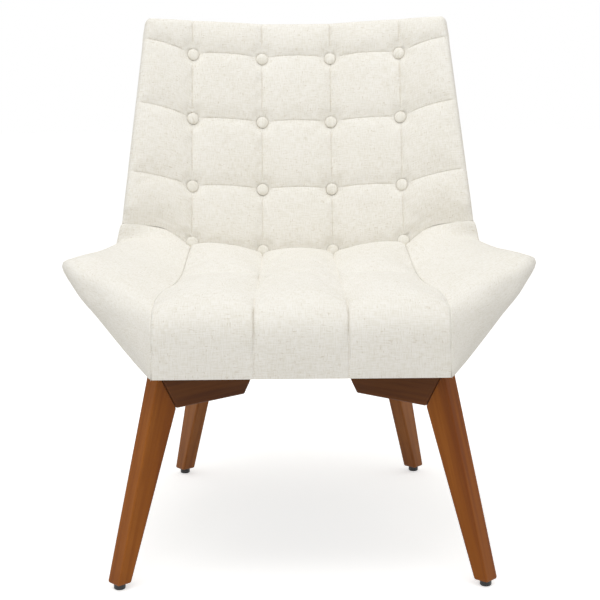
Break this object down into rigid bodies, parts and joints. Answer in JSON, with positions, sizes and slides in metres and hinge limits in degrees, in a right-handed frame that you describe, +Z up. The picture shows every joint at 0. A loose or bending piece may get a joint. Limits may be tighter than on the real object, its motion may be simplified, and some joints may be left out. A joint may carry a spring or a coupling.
{
  "type": "tufted lounge chair",
  "caption": "Button-tufted lounge chair with a curved reclined back, flared wings beside a channelled seat, and splayed tapered wooden legs.",
  "frame": {"origin": "on the floor, in the middle of the chair's width and depth", "axes": "+Z up; the chair faces -Y and is the same on both sides of X = 0"},
  "size_m": [0.7256, 0.7418, 0.815],
  "materials": {
    "cream_linen": "matt cream linen with a slubbed weave",
    "button_linen": "matt cream linen stretched over a button",
    "amber_stained_wood": "amber brown stain under satin lacquer",
    "bare_plywood": "sanded, unfinished",
    "bare_timber": "sawn, unfinished",
    "black_dust_cloth": "matt black non-woven cloth",
    "black_nylon": "matt black",
    "zinc_steel": "zinc plated"
  },
  "bodies": {
    "root": {"wing_pad_left": "cream_linen", "wing_pad_right": "cream_linen", "back_pad": "cream_linen", "seat_pad": "cream_linen", "outer_back_cover": "cream_linen", "side_cover_left": "cream_linen", "side_cover_right": "cream_linen", "button_r1_c1": "button_linen", "button_r1_c2": "button_linen", "button_r1_c3": "button_linen", "button_r1_c4": "button_linen", "button_r2_c1": "button_linen", "button_r2_c2": "button_linen", "button_r2_c3": "button_linen", "button_r2_c4": "button_linen", "button_r3_c1": "button_linen", "button_r3_c2": "button_linen", "button_r3_c3": "button_linen", "button_r3_c4": "button_linen", "button_r4_c1": "button_linen", "button_r4_c2": "button_linen", "button_r4_c3": "button_linen", "button_r4_c4": "button_linen", "dust_cover": "black_dust_cloth", "seat_base_panel": "bare_plywood", "back_panel": "bare_plywood", "side_board_left": "bare_plywood", "side_board_right": "bare_plywood", "front_rail": "bare_timber", "top_rail": "bare_timber", "back_post_left": "bare_timber", "back_post_right": "bare_timber", "leg_front_left": "amber_stained_wood", "leg_front_right": "amber_stained_wood", "leg_rear_left": "amber_stained_wood", "leg_rear_right": "amber_stained_wood", "leg_bracket_front_left": "amber_stained_wood", "leg_bracket_front_right": "amber_stained_wood", "leg_bracket_rear_left": "amber_stained_wood", "leg_bracket_rear_right": "amber_stained_wood", "glide_front_left": "black_nylon", "glide_front_right": "black_nylon", "glide_rear_left": "black_nylon", "glide_rear_right": "black_nylon", "bolt_front_left_outer": "zinc_steel", "bolt_front_left_inner": "zinc_steel", "bolt_front_right_outer": "zinc_steel", "bolt_front_right_inner": "zinc_steel", "bolt_rear_left_outer": "zinc_steel", "bolt_rear_left_inner": "zinc_steel", "bolt_rear_right_outer": "zinc_steel", "bolt_rear_right_inner": "zinc_steel", "tee_nut_front_left_outer": "zinc_steel", "tee_nut_front_left_inner": "zinc_steel", "tee_nut_front_right_outer": "zinc_steel", "tee_nut_front_right_inner": "zinc_steel", "tee_nut_rear_left_outer": "zinc_steel", "tee_nut_rear_left_inner": "zinc_steel", "tee_nut_rear_right_outer": "zinc_steel", "tee_nut_rear_right_inner": "zinc_steel"}
  },
  "joints": []
}
